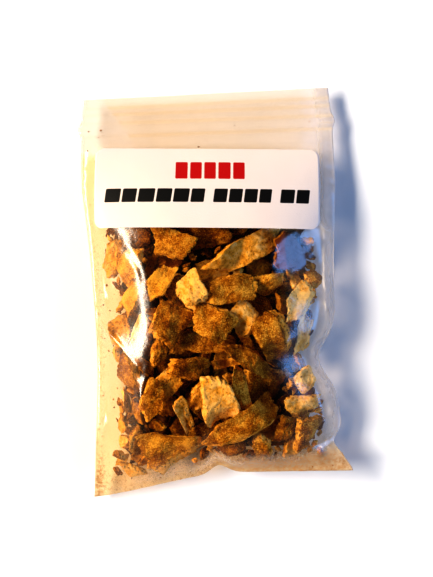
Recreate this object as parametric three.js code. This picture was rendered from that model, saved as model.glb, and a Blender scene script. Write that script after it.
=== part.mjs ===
// A small clear grip-seal bag, full of chopped dried orange peel and lying on its back, with a paper label.
// Millimetres. +X runs across the bag, +Y from the bottom seam to the zip, and +Z out of the front.
// The origin is under the middle of the bounding box, on the surface that the bag lies on.
//
// The bag's surface is worked out from two pattern coordinates: across, from -1 at the left side weld
// to 1 at the right one, and along, in millimetres from the bottom seam towards the lip.
import * as THREE from "three";

// Driving dimensions of the bag.
const BAG_WIDTH = 76;
const BAG_LENGTH = 120.5;
const ZIP_ALONG = 111; // the middle of the zip, from the bottom seam
const BULGE = 15.5; // how far the front swells above the side welds
const BULGE_CREST = 45; // where along the bag it is fullest
const BELLY_START = 3; // the contents begin this far above the bottom seam
const BELLY_END = 108; // and the two films meet again just under the zip
const SEAM_HEIGHT = 6.5; // the side welds above the surface that the bag lies on
const LIP_DROOP = 2; // the lip hangs this much lower than the side welds
const FLANGE = 0.35; // half the thickness of the welded films

// Driving dimensions of the label.
const LABEL_WIDTH = 66.7;
const LABEL_HEIGHT = 24.2;
const LABEL_CORNER = 2.6;
const LABEL_ACROSS = -0.6; // the label's centre, in millimetres from the bag's middle
const LABEL_ALONG = 91.3; // and from the bottom seam
const LABEL_TURN = THREE.MathUtils.degToRad(-2.6);
const LABEL_GAP = 0.3;
const LABEL_THICKNESS = 0.3;
const LABEL_SPRING = 0.8; // the stiff paper stands this much further off the film at its two ends

const CELLS_ACROSS = 34;

const clamp = (x) => Math.min(1, Math.max(0, x));
const ramp = (from, to, x) => THREE.MathUtils.smoothstep((x - from) / (to - from), 0, 1);
const hump = (x, middle, width) => Math.exp(-(((x - middle) / width) ** 2));

// The outline. The bag draws in where the contents swell it, and the crushed ends of the zip stand out.
const drawnIn = (along) => Math.sin((Math.PI * along) / 92) * (along < 92 ? 1 : 0);
const zipEnd = (along) => 0.9 * hump(along, ZIP_ALONG, 1.8);

function leftEdge(along) {
  return -BAG_WIDTH / 2 + 2.8 * drawnIn(along) + 0.8 * hump(along, 120, 6) - zipEnd(along);
}

function rightEdge(along) {
  const tucks = 5.2 * hump(along, 36.6, 8) + 2.8 * hump(along, 9.5, 3.5);
  const dogEar = 1.8 * hump(along, 0, 3);
  return BAG_WIDTH / 2 - 1.6 * drawnIn(along) - tucks + dogEar - 0.8 * hump(along, 120, 6) + zipEnd(along);
}

// The bottom seam climbs from the left corner to a fold near the middle, and its right half is drawn up.
function seamLift(across) {
  return 6.9 * ramp(-1.15, 0.1, across) - 0.5 + 2.4 * hump(across, -0.02, 0.09);
}

function plan(across, along) {
  const share = (across + 1) / 2;
  const slack = clamp(1 - along / BAG_LENGTH) ** 2;
  const x = THREE.MathUtils.lerp(leftEdge(along), rightEdge(along), share);
  return { x, y: along + seamLift(across) * slack + 0.6 * across * ramp(ZIP_ALONG, BAG_LENGTH, along) };
}

// The height of the weld line that the front and the back both start from.
function weldHeight(across, along) {
  const droop = LIP_DROOP * ramp(88, BAG_LENGTH, along);
  const curl = 3 * hump(along, 0, 9) * ramp(0, 1, across) - 2.6 * hump(along, 0, 12) * ramp(0, -1, across);
  const wave = 0.5 * Math.sin(along / 7 + across) * ramp(0.8, 1, Math.abs(across)) * ramp(100, 80, along);
  return SEAM_HEIGHT - droop + curl + wave;
}

// The front swells as a quarter ellipse from the bottom seam, then falls along a cosine to the zip.
function swellAlong(along) {
  if (along < BULGE_CREST) {
    return Math.sqrt(1 - clamp((BULGE_CREST - along) / (BULGE_CREST - BELLY_START)) ** 2);
  }
  return Math.cos((Math.PI / 2) * clamp((along - BULGE_CREST) / (BELLY_END - BULGE_CREST)));
}

// Across the bag it stays full nearly to the right weld, and leaves an empty margin along the left one.
function swellAcross(across) {
  const reach = across < 0 ? 0.93 : 0.98;
  return (1 - clamp(Math.abs(across) / reach) ** 3) ** 0.65;
}

// The lumps that the pieces of peel raise in the film: three crossing waves, none of them under the label.
function lumps(x, y) {
  const waves = Math.sin(x / 2.1 + y / 5.3) * Math.sin(y / 2.4 - x / 6.1) + 0.6 * Math.sin(x / 3.7 - y / 1.9);
  return 0.45 * waves * ramp(80, 74, y) * ramp(2, 12, y);
}

// The zip's ribs on each face: a bead under the lip, two guide ribs, and the pair of closing tracks.
function ribs(along) {
  const beads = 0.12 * hump(along, 119.6, 0.7) + 0.22 * hump(along, 116.6, 0.5) + 0.18 * hump(along, 115.2, 0.5);
  const tracks = 0.75 * hump(along, ZIP_ALONG + 0.9, 0.8) + 0.75 * hump(along, ZIP_ALONG - 1.1, 0.8);
  return beads + tracks;
}

function frontHeight(across, along) {
  const { x, y } = plan(across, along);
  const swell = swellAlong(along) * swellAcross(across);
  return weldHeight(across, along) + FLANGE + BULGE * swell + lumps(x, y) * ramp(0, 0.4, swell) + ribs(along);
}

// The back leaves the weld line and lies flat on the surface under the contents.
function backHeight(across, along) {
  const grounded = ramp(0.97, 0.7, Math.abs(across)) * ramp(1, 15, along) * ramp(106, 76, along);
  return (weldHeight(across, along) - FLANGE - 0.5 * ribs(along)) * (1 - grounded);
}

// Rows along the bag: close together over the zip and the bottom seam, and even over the belly.
function rowsAlong() {
  const rows = [0, 1.5, 3, 4.5, 7];
  for (let along = 10; along <= 106; along += 3.2) {
    rows.push(along);
  }
  rows.push(107.6, 109, 109.9, 110.9, 111.9, 113.2, 114.4, 115.2, 115.9, 116.6, 117.6, 119, BAG_LENGTH);
  return rows;
}

// A closed solid between two sheets of points on one grid, the upper one and the lower one.
function slab(upper, lower) {
  const rows = upper.length;
  const columns = upper[0].length;
  const points = [...upper.flat(), ...lower.flat()];
  const top = (row, column) => row * columns + column;
  const under = (row, column) => rows * columns + top(row, column);
  const faces = [];
  const quad = (a, b, c, d) => faces.push(a, b, c, a, c, d);
  for (let row = 0; row < rows - 1; row++) {
    for (let column = 0; column < columns - 1; column++) {
      quad(top(row, column), top(row, column + 1), top(row + 1, column + 1), top(row + 1, column));
      quad(under(row, column), under(row + 1, column), under(row + 1, column + 1), under(row, column + 1));
    }
  }
  for (let column = 0; column < columns - 1; column++) {
    const last = rows - 1;
    quad(under(0, column), under(0, column + 1), top(0, column + 1), top(0, column));
    quad(top(last, column), top(last, column + 1), under(last, column + 1), under(last, column));
  }
  for (let row = 0; row < rows - 1; row++) {
    const last = columns - 1;
    quad(top(row, 0), top(row + 1, 0), under(row + 1, 0), under(row, 0));
    quad(under(row, last), under(row + 1, last), top(row + 1, last), top(row, last));
  }
  const geometry = new THREE.BufferGeometry().setFromPoints(points);
  geometry.setIndex(faces);
  geometry.computeVertexNormals();
  return geometry;
}

// A sheet of points on the bag, one row for each step along it, at the height that a function gives.
function bagSheet(height) {
  return rowsAlong().map((along) =>
    Array.from({ length: CELLS_ACROSS + 1 }, (_, column) => {
      const across = (2 * column) / CELLS_ACROSS - 1;
      const { x, y } = plan(across, along);
      return new THREE.Vector3(x, y, height(across, along));
    }),
  );
}

// The pattern coordinates of a point in plan, found by stepping towards it.
function patternAt(x, y) {
  let across = x / (BAG_WIDTH / 2);
  let along = y;
  for (let step = 0; step < 6; step++) {
    const there = plan(across, along);
    across += (x - there.x) / (BAG_WIDTH / 2);
    along += y - there.y;
  }
  return { across, along };
}

// The label's rows run up it, and they are shorter within its round corners.
function labelSheet(lift) {
  const straight = LABEL_HEIGHT / 2 - LABEL_CORNER;
  const round = [90, 60, 30].map((degrees) => THREE.MathUtils.degToRad(degrees));
  const steps = [
    ...round.map((turn) => ({ up: -straight - LABEL_CORNER * Math.sin(turn), inset: 1 - Math.cos(turn) })),
    ...[-1, -0.6, -0.2, 0.2, 0.6, 1].map((share) => ({ up: share * straight, inset: 0 })),
    ...round.reverse().map((turn) => ({ up: straight + LABEL_CORNER * Math.sin(turn), inset: 1 - Math.cos(turn) })),
  ];
  const cells = 30;
  return steps.map(({ up, inset }) =>
    Array.from({ length: cells + 1 }, (_, column) => {
      const share = (2 * column) / cells - 1;
      const side = share * (LABEL_WIDTH / 2 - LABEL_CORNER * inset);
      const x = LABEL_ACROSS + side * Math.cos(LABEL_TURN) - up * Math.sin(LABEL_TURN);
      const y = LABEL_ALONG + side * Math.sin(LABEL_TURN) + up * Math.cos(LABEL_TURN);
      const { across, along } = patternAt(x, y);
      return new THREE.Vector3(x, y, frontHeight(across, along) + lift + LABEL_SPRING * share ** 6);
    }),
  );
}

const film = new THREE.MeshStandardMaterial({ color: 0xf3e4c8, roughness: 0.12, metalness: 0 });
const paper = new THREE.MeshStandardMaterial({ color: 0xf8ede2, roughness: 0.75, metalness: 0 });

const bag = new THREE.Mesh(slab(bagSheet(frontHeight), bagSheet(backHeight)), film);
bag.name = "bag";

const label = new THREE.Mesh(slab(labelSheet(LABEL_GAP + LABEL_THICKNESS), labelSheet(LABEL_GAP)), paper);
label.name = "label";

// The group sits with the middle of its box over the origin and its lowest face on the surface.
const group = new THREE.Group();
group.add(bag, label);
const box = new THREE.Box3().setFromObject(group);
const middle = box.getCenter(new THREE.Vector3());
group.position.set(-middle.x, -middle.y, -box.min.z);

export default group;
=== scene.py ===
"""A small clear grip-seal bag of chopped dried orange peel, lying on its back.

The clear film drapes over real pieces of peel, which are packed up against it from below. The bag's own
surface is worked out as in the CAD source, in millimetres, from two pattern coordinates: across, from -1 at
the left side weld to 1 at the right one, and along, in millimetres from the bottom seam towards the lip. The
meshes are then put in the CAD frame, in metres.
"""

import math

import bpy
import numpy as np
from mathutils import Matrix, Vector


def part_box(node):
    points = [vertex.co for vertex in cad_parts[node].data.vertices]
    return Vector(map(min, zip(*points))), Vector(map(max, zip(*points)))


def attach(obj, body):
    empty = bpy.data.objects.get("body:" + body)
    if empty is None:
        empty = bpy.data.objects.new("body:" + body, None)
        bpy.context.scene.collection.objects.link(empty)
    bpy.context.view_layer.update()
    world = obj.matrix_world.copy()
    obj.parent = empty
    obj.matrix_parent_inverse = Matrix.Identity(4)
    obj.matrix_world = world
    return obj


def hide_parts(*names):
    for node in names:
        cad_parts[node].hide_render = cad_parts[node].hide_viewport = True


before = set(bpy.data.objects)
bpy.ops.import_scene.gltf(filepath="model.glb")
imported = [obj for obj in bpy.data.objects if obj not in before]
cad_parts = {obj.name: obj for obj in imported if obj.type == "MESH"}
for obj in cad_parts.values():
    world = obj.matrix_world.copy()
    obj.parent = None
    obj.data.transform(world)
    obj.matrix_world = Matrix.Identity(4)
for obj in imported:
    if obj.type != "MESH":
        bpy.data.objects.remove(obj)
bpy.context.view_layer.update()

# ----------------------------------------------------------------------------------------------------
# Driving dimensions, in millimetres, as in the CAD source.

BAG_WIDTH = 76.0
BAG_LENGTH = 120.5
ZIP_ALONG = 111.0  # the middle of the zip, from the bottom seam
BULGE = 15.5  # how far the front swells above the side welds
BULGE_CREST = 45.0  # where along the bag it is fullest
BELLY_START = 3.0  # the contents begin this far above the bottom seam
BELLY_END = 108.0  # and the two films meet again just under the zip
SEAM_HEIGHT = 6.5  # the side welds above the surface that the bag lies on
LIP_DROOP = 2.0  # the lip hangs this much lower than the side welds

LABEL_WIDTH = 66.7
LABEL_HEIGHT = 24.2
LABEL_CORNER = 2.6
LABEL_ACROSS = -0.6  # the label's centre, from the bag's middle
LABEL_ALONG = 91.3  # and from the bottom seam
LABEL_TURN = math.radians(-2.6)
LABEL_LIFT = 0.42  # the film under the label stands this far above the plain front
LABEL_SPRING = 0.8  # the stiff paper stands this much further up at its two ends

# Thicknesses and gaps, in millimetres.
PAPER = 0.13
PAPER_GAP = 0.03  # between the film and the label
FILM = 0.1  # half the thickness of the two films where they are welded
LEAST_FILM = 0.12  # what the front's surface keeps above the back's
TABLE_GAP = 0.06  # between the table and the back
CONTACT = 0.25  # what the film and the pieces of peel keep between them
CLEAR = 0.05  # what pieces of peel keep between themselves
FAR = 1e3  # higher than anything, where a cell is closed

MM = 1000  # millimetres in a metre


def ramp(start, end, x):
    """A smooth step from 0 at start to 1 at end."""
    t = np.clip((x - start) / (end - start), 0, 1)
    return t * t * (3 - 2 * t)


def hump(x, middle, width):
    """A Gaussian bell of height 1."""
    return np.exp(-(((x - middle) / width) ** 2))


# ----------------------------------------------------------------------------------------------------
# The bag's surface, as in the CAD source.


def drawn_in(along):
    """How far the sides draw in: half a sine over the belly."""
    return np.where(along < 92, np.sin(np.pi * along / 92), 0)


def zip_end(along):
    """How far the crushed ends of the zip stand out: a narrow bell."""
    return 0.9 * hump(along, ZIP_ALONG, 1.8)


def left_edge(along):
    """The left side weld: straight, but drawn in over the belly and at the lip."""
    return -BAG_WIDTH / 2 + 2.8 * drawn_in(along) + 0.8 * hump(along, 120, 6) - zip_end(along)


def right_edge(along):
    """The right side weld: drawn in too, with two tucks as bells and a dog-ear at its corner."""
    tucks = 5.2 * hump(along, 36.6, 8) + 2.8 * hump(along, 9.5, 3.5)
    dog_ear = 1.8 * hump(along, 0, 3)
    ends = zip_end(along) - 0.8 * hump(along, 120, 6)
    return BAG_WIDTH / 2 - 1.6 * drawn_in(along) - tucks + dog_ear + ends


def seam_lift(across):
    """The bottom seam climbs from the left corner to a fold near the middle."""
    return 6.9 * ramp(-1.15, 0.1, across) - 0.5 + 2.4 * hump(across, -0.02, 0.09)


def plan(across, along):
    """Pattern coordinates to plan millimetres: across runs straight from one edge to the other."""
    share = (across + 1) / 2
    slack = np.clip(1 - along / BAG_LENGTH, 0, 1) ** 2
    x = left_edge(along) * (1 - share) + right_edge(along) * share
    y = along + seam_lift(across) * slack + 0.6 * across * ramp(ZIP_ALONG, BAG_LENGTH, along)
    return x, y


def pattern_at(x, y):
    """Plan millimetres to pattern coordinates, by stepping towards the point."""
    across, along = x / (BAG_WIDTH / 2), y
    for _ in range(8):
        there_x, there_y = plan(across, along)
        across = across + (x - there_x) / (BAG_WIDTH / 2)
        along = along + y - there_y
    return across, along


def weld_height(across, along):
    """The height of the weld line that the front and the back both start from."""
    droop = LIP_DROOP * ramp(88, BAG_LENGTH, along)
    curl = 3 * hump(along, 0, 9) * ramp(0, 1, across) - 2.6 * hump(along, 0, 12) * ramp(0, -1, across)
    wave = 0.5 * np.sin(along / 7 + across) * ramp(0.8, 1, np.abs(across)) * ramp(100, 80, along)
    return SEAM_HEIGHT - droop + curl + wave


def swell_along(along):
    """A quarter ellipse from the bottom seam to the crest, then a cosine to the zip."""
    rise = np.sqrt(1 - np.clip((BULGE_CREST - along) / (BULGE_CREST - BELLY_START), 0, 1) ** 2)
    fall = np.cos((np.pi / 2) * np.clip((along - BULGE_CREST) / (BELLY_END - BULGE_CREST), 0, 1))
    return np.where(along < BULGE_CREST, rise, fall)


def swell_across(across):
    """Full nearly to the right weld, with an empty margin along the left one."""
    reach = np.where(across < 0, 0.93, 0.98)
    return (1 - np.clip(np.abs(across) / reach, 0, 1) ** 3) ** 0.65


def front_height(across, along):
    """The plain front: the weld line with the swell of the contents on it."""
    return weld_height(across, along) + FILM + BULGE * swell_along(along) * swell_across(across)


def back_height(across, along):
    """The back leaves the weld line and lies flat under the contents."""
    grounded = ramp(0.97, 0.7, np.abs(across)) * ramp(1, 15, along) * ramp(106, 76, along)
    return (weld_height(across, along) - FILM) * (1 - grounded) + TABLE_GAP


def ribs(along):
    """The zip's ribs: a bead under the lip, two guide ribs, and the pair of closing tracks."""
    beads = 0.12 * hump(along, 119.6, 0.5) + 0.22 * hump(along, 116.6, 0.4) + 0.18 * hump(along, 115.2, 0.4)
    tracks = 0.7 * hump(along, ZIP_ALONG + 0.9, 0.7) + 0.7 * hump(along, ZIP_ALONG - 1.1, 0.7)
    return beads + tracks


def label_place(x, y):
    """Plan millimetres to the label's own two directions, from its centre."""
    dx, dy = x - LABEL_ACROSS, y - LABEL_ALONG
    return (
        dx * math.cos(LABEL_TURN) + dy * math.sin(LABEL_TURN),
        -dx * math.sin(LABEL_TURN) + dy * math.cos(LABEL_TURN),
    )


def label_height(x, y):
    """The film under the label: the plain front, lifted, with the stiff ends springing up and a slow wave."""
    side, up = label_place(x, y)
    wave = 0.1 * np.sin(side / 5.1 + 0.6) * np.sin(up / 6.3 + side / 17)
    share = np.clip(np.abs(side) / (LABEL_WIDTH / 2), 0, 1)
    return front_height(*pattern_at(x, y)) + LABEL_LIFT + wave + LABEL_SPRING * share**6


# The plan's millimetres are moved so that the pattern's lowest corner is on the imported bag's lowest corner.
EDGE_STEPS = 500
lowest_x = left_edge(np.linspace(0, BAG_LENGTH, EDGE_STEPS)).min()
lowest_y = plan(np.linspace(-1, 1, EDGE_STEPS), np.zeros(EDGE_STEPS))[1].min()
low_corner = np.array(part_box("bag")[0]) * MM
SHIFT = np.array([low_corner[0] - lowest_x, low_corner[1] - lowest_y, low_corner[2]])


def in_frame(points):
    """Plan millimetres to metres in the CAD frame."""
    return (np.asarray(points) + SHIFT) / MM


# ----------------------------------------------------------------------------------------------------
# Grids of heights and smooth lines.


def neighbours(heights):
    """The heights next to each one on its four sides. Past the grid's edge its own rim goes on."""
    padded = np.pad(heights, 1, mode="edge")
    return padded[2:, 1:-1], padded[:-2, 1:-1], padded[1:-1, 2:], padded[1:-1, :-2]


def smoothed(heights, passes):
    """Averaged over its neighbours again and again."""
    for _ in range(passes):
        heights = sum(neighbours(heights)) / 4
    return heights


def lowest_within(heights, reach):
    """The lowest height within reach steps each way."""
    for _ in range(reach):
        heights = np.minimum.reduce([*neighbours(heights), heights])
    return heights


def highest_within(heights, reach):
    """The greatest height within reach steps each way."""
    return -lowest_within(-heights, reach)


def polyline(points, steps=120):
    """Points spaced evenly along a smooth line through a few given ones (x, y, value), by cubic Hermite."""
    knots = np.array(points, float)
    reach = np.concatenate([[0], np.cumsum(np.hypot(*np.diff(knots[:, :2], axis=0).T))])
    tangent = np.gradient(knots, reach, axis=0)
    t = np.linspace(0, reach[-1], steps)
    span = np.searchsorted(reach, t, side="right").clip(1, len(reach) - 1) - 1
    width = reach[span + 1] - reach[span]
    u = ((t - reach[span]) / width)[:, None]
    width = width[:, None]
    start, end = knots[span], knots[span + 1]
    leaving, arriving = tangent[span] * width, tangent[span + 1] * width
    return (
        (2 * u**3 - 3 * u**2 + 1) * start
        + (u**3 - 2 * u**2 + u) * leaving
        + (3 * u**2 - 2 * u**3) * end
        + (u**3 - u**2) * arriving
    )


def nearest_on(points, x, y):
    """How far each place is from the smooth line through some points, and the line's value there."""
    line = polyline(points)
    gap = np.hypot(x[..., None] - line[:, 0], y[..., None] - line[:, 1])
    nearest = gap.argmin(-1)
    return np.take_along_axis(gap, nearest[..., None], -1)[..., 0], line[nearest, 2]


# ----------------------------------------------------------------------------------------------------
# Putting arrays into meshes.


def new_piece(name, points, faces, finish, slot=None, marks=None, flat_uv=None):
    """A mesh object from whole arrays. points are in metres; faces is a list of arrays, one row per face.

    marks are point attributes by name, and flat_uv gives each point its place on the material's own plane.
    """
    mesh = bpy.data.meshes.new(name)
    corners = np.concatenate([part.ravel() for part in faces]).astype(np.int32)
    sides = np.concatenate([np.full(len(part), part.shape[1]) for part in faces]).astype(np.int32)
    mesh.vertices.add(len(points))
    mesh.vertices.foreach_set("co", np.asarray(points, np.float32).ravel())
    mesh.loops.add(len(corners))
    mesh.loops.foreach_set("vertex_index", corners)
    mesh.polygons.add(len(sides))
    mesh.polygons.foreach_set("loop_start", (np.cumsum(sides) - sides).astype(np.int32))
    mesh.polygons.foreach_set("use_smooth", np.ones(len(sides), bool))
    mesh.update(calc_edges=True)
    for mark, values in (marks or {}).items():
        attribute = mesh.attributes.new(mark, "FLOAT", "POINT")
        attribute.data.foreach_set("value", np.asarray(values, np.float32).ravel())
    if flat_uv is not None:
        layer = mesh.uv_layers.new(name="UVMap")
        layer.data.foreach_set("uv", np.asarray(flat_uv, np.float32)[corners].ravel())
    mesh.materials.append(finish)
    piece = bpy.data.objects.new(name, mesh)
    bpy.context.scene.collection.objects.link(piece)
    if slot:
        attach(piece, "root")
    return piece


def slab_faces(rows, columns):
    """The quads of a closed slab: an upper and a lower sheet on one grid, and the four walls between them."""
    grid = np.arange(rows * columns).reshape(rows, columns)
    a, b, c, d = grid[:-1, :-1], grid[:-1, 1:], grid[1:, 1:], grid[1:, :-1]
    under = rows * columns
    quads = [
        np.stack([a, b, c, d], -1).reshape(-1, 4),
        np.stack([a, d, c, b], -1).reshape(-1, 4) + under,
    ]
    rim = np.concatenate([grid[0, :-1], grid[:-1, -1], grid[-1, :0:-1], grid[:0:-1, 0]])
    following = np.roll(rim, -1)
    quads.append(np.stack([rim + under, following + under, following, rim], -1))
    return [np.concatenate(quads)]


def slab_piece(name, upper, lower, finish, slot=None, marks=None, flat_uv=None):
    """A closed slab between two grids of points, the upper one first."""
    rows, columns = upper.shape[:2]
    points = np.concatenate([upper.reshape(-1, 3), lower.reshape(-1, 3)])
    return new_piece(name, points, slab_faces(rows, columns), finish, slot, marks, flat_uv)


# ----------------------------------------------------------------------------------------------------
# Shader maths.


class Value:
    """A number that varies over a surface. Arithmetic on it adds Math nodes to its finish."""

    def __init__(self, finish, socket):
        self.finish = finish
        self.socket = socket

    def _math(self, operation, first, second):
        return self.finish.node("ShaderNodeMath", {"operation": operation}, [first, second])

    def __add__(self, other):
        return self._math("ADD", self, other)

    def __radd__(self, other):
        return self._math("ADD", other, self)

    def __sub__(self, other):
        return self._math("SUBTRACT", self, other)

    def __rsub__(self, other):
        return self._math("SUBTRACT", other, self)

    def __mul__(self, other):
        return self._math("MULTIPLY", self, other)

    def __rmul__(self, other):
        return self._math("MULTIPLY", other, self)

    def __pow__(self, other):
        return self._math("POWER", self, other)

    def at_most(self, other):
        return self._math("MINIMUM", self, other)

    def at_least(self, other):
        return self._math("MAXIMUM", self, other)

    def size(self):
        return self._math("ABSOLUTE", self, 0)

    def ramp(self, start, end):
        """A smooth step from 0 at start to 1 at end."""
        settings = {"interpolation_type": "SMOOTHSTEP"}
        return self.finish.node("ShaderNodeMapRange", settings, [self, start, end])


class Finish:
    """The nodes of a material, or of the world."""

    def __init__(self, owner):
        self.owner = owner
        self.owner.use_nodes = True
        self.tree = self.owner.node_tree
        self.tree.nodes.clear()

    def node(self, kind, settings=None, inputs=None, output=0):
        """Adds a node: settings first, a ramp's stops among them, then its sockets' values or links."""
        made = self.tree.nodes.new(kind)
        for name, value in (settings or {}).items():
            if name == "stops":
                self._stops(made.color_ramp, value)
            else:
                setattr(made, name, value)
        pairs = inputs.items() if isinstance(inputs, dict) else enumerate(inputs or [])
        for key, value in pairs:
            if isinstance(value, Value):
                self.tree.links.new(value.socket, made.inputs[key])
            else:
                made.inputs[key].default_value = value
        return Value(self, made.outputs[output]) if made.outputs else None

    @staticmethod
    def _stops(ramp_of_colours, stops):
        while len(ramp_of_colours.elements) < len(stops):
            ramp_of_colours.elements.new(1.0)
        for element, (place, colour) in zip(ramp_of_colours.elements, stops):
            element.position = place
            element.color = (*colour, 1.0)

    def place(self):
        """Object coordinates, in metres."""
        return self.node("ShaderNodeTexCoord", output="Object")

    def mark(self, name):
        """A point attribute of the piece."""
        return self.node("ShaderNodeAttribute", {"attribute_name": name}, output="Fac")

    def moved(self, place, shift):
        """The place shifted the same way along each axis, so that two patterns of one size don't coincide."""
        return self.node("ShaderNodeVectorMath", {"operation": "ADD"}, [place, (shift, shift, shift)])

    def noise(self, place, grain, detail=2.0, rough=0.5, shift=0.0):
        """Noise from about 0 to 1, whose features are about grain metres across."""
        place = self.moved(place, shift)
        values = {"Vector": place, "Scale": 1 / grain, "Detail": detail, "Roughness": rough}
        return self.node("ShaderNodeTexNoise", None, values)

    def cells(self, place, grain):
        """How far the nearest of some scattered points is, as a share of the grain metres between them."""
        return self.node("ShaderNodeTexVoronoi", None, {"Vector": place, "Scale": 1 / grain}, "Distance")

    def shades(self, value, stops):
        """A colour for each value, from stops of (value, colour)."""
        return self.node("ShaderNodeValToRGB", {"stops": stops}, [value])

    def mix(self, share, first, second):
        """A colour between two others, by share."""
        first = first if isinstance(first, Value) else (*first, 1.0)
        second = second if isinstance(second, Value) else (*second, 1.0)
        return self.node("ShaderNodeMix", {"data_type": "RGBA"}, {0: share, 6: first, 7: second}, output=2)

    def bump(self, height, depth):
        """A Bump node: height from 0 to 1 stands for depth metres."""
        return self.node("ShaderNodeBump", None, {"Strength": 1.0, "Distance": depth, "Height": height})

    def principled(self, **values):
        """The usual shader. A socket's spaces are written as _."""
        inputs = {name.replace("_", " "): value for name, value in values.items()}
        return self.node("ShaderNodeBsdfPrincipled", None, inputs)

    def plain_shader(self, kind, colour):
        """A shader of one constant colour."""
        return self.node(kind, None, {"Color": (*colour, 1.0)})

    def blend_shaders(self, share, first, second):
        return self.node("ShaderNodeMixShader", None, [share, first, second])

    def finished(self, shader, output="ShaderNodeOutputMaterial"):
        self.node(output, None, {"Surface": shader})
        return self.owner


def new_finish(name):
    return Finish(bpy.data.materials.new(name))


# ----------------------------------------------------------------------------------------------------
# Materials.

ZEST_DARK = (0.095, 0.022, 0.0008)
ZEST_MID = (0.37, 0.154, 0.007)
ZEST_LIGHT = (0.82, 0.50, 0.09)
PITH_DARK = (0.34, 0.14, 0.008)
PITH_MID = (0.82, 0.43, 0.060)
PITH_LIGHT = (1.0, 0.70, 0.27)
# The heap's hidden heart is painted nearly black: painted shade.
CORE_SHADE_DARK = (0.030, 0.006, 0.0005)
CORE_SHADE_LIGHT = (0.13, 0.035, 0.003)

# Lit and shaded copies of the film's clear tint and of its haze, mixed by the painted warmth: painted light
# and shade.
LIT_WARM_TINT = (0.985, 0.850, 0.64)
SHADED_COOL_TINT = (0.975, 0.955, 0.95)
LIT_HAZE_CREAM = (1.0, 0.83, 0.57)
SHADED_HAZE_GREY = (0.74, 0.71, 0.72)
DUST = (0.42, 0.20, 0.06)

PAPER_DULL = (0.735, 0.63, 0.58)
PAPER_BRIGHT = (0.775, 0.68, 0.635)
PAPER_FIBRE = (0.72, 0.66, 0.60)
RED_INK = (0.44, 0.002, 0.003)
BLACK_INK = (0.003, 0.003, 0.003)

TABLE_DULL = (0.88, 0.90, 0.92)
TABLE_BRIGHT = (0.90, 0.92, 0.94)


def peel_finish(name):
    """Dried peel: granular brown zest with pale grains, partly a painted highlight, and dark pits, painted
    shade, and felty golden pith.

    The mark zest is 1 on the outer skin and 0 on the pith, edge is 1 where it was cut, the paleness mark is
    how pale each piece is, with painted shade on the deeper ones, and relief is how far the modelled surface
    stands out.
    """
    finish = new_finish(name)
    place = finish.place()
    zest, edge = finish.mark("zest"), finish.mark("edge")
    tone, relief = finish.mark("tone"), finish.mark("relief")
    grain = finish.noise(place, 0.00036, detail=2.0, rough=0.65)
    # Pale specks: the zest's pale grains, and partly a painted highlight on their raised tops.
    specks = 1 - finish.cells(place, 0.00085).ramp(0.16, 0.34)
    blotch = finish.noise(place, 0.0038, detail=3.0, rough=0.6, shift=0.031)
    fibre = finish.noise(place, 0.0016, detail=4.0, rough=0.6, shift=0.017)
    dents = finish.noise(place, 0.0022, detail=1.0, rough=0.5, shift=0.053)
    pits = finish.cells(finish.moved(place, 0.07), 0.0010)
    holes = (1 - pits.ramp(0.19, 0.33)) * (0.5 - 0.3 * zest + 0.5 * edge).at_most(1.0)

    # The paleness mark also holds painted shade: the deeper pieces and the piece in the hollow by the label
    # are painted darker.
    shade = (grain - 0.5) * 1.5 + specks * 0.28 + (blotch - 0.5) * 1.7 + (tone - 0.5) * 0.9 + 0.46
    skin = finish.shades(shade, [(0.05, ZEST_DARK), (0.48, ZEST_MID), (0.95, ZEST_LIGHT)])
    inner_shade = (fibre - 0.5) * 1.5 + (grain - 0.5) * 0.7 + (blotch - 0.5) * 1.2 + (tone - 0.5) * 0.9
    # Where the pith's modelled surface dips it is painted darker, and where it stands out paler: painted
    # shade.
    inner_shade = inner_shade + (relief - 0.5) * 0.4 + 0.48
    pith = finish.shades(inner_shade, [(0.05, PITH_DARK), (0.5, PITH_MID), (0.95, PITH_LIGHT)])

    # The zest ends in a ragged line at the cut.
    ragged = (zest + (grain - 0.5) * 0.5 + (blotch - 0.5) * 0.3).ramp(0.4, 0.62)
    colour = finish.mix(ragged, pith, skin)
    # The pores and pits are painted dark as well as dented: painted shade in them.
    colour = finish.mix(holes * 0.6, colour, ZEST_DARK)
    height = grain * 0.3 + specks * zest * 0.08 + fibre * (0.4 - 0.2 * zest) - holes * 0.3 + dents * 0.7
    normal = finish.bump(height, 0.001)
    rough = 0.62 + 0.25 * grain
    shader = finish.principled(
        Base_Color=colour, Roughness=rough, Normal=normal, Specular_IOR_Level=0.12, IOR=1.45
    )
    return finish.finished(shader)


def core_shade_finish():
    """The heart of the heap, painted nearly black: painted shade for the hidden peel, not its own colour."""
    finish = new_finish("peel_core_shade")
    grain = finish.noise(finish.place(), 0.0011, detail=3.0, rough=0.6)
    colour = finish.shades(grain, [(0.3, CORE_SHADE_DARK), (0.75, CORE_SHADE_LIGHT)])
    normal = finish.bump(grain, 0.0006)
    return finish.finished(finish.principled(Base_Color=colour, Roughness=0.9, Normal=normal))


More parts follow.
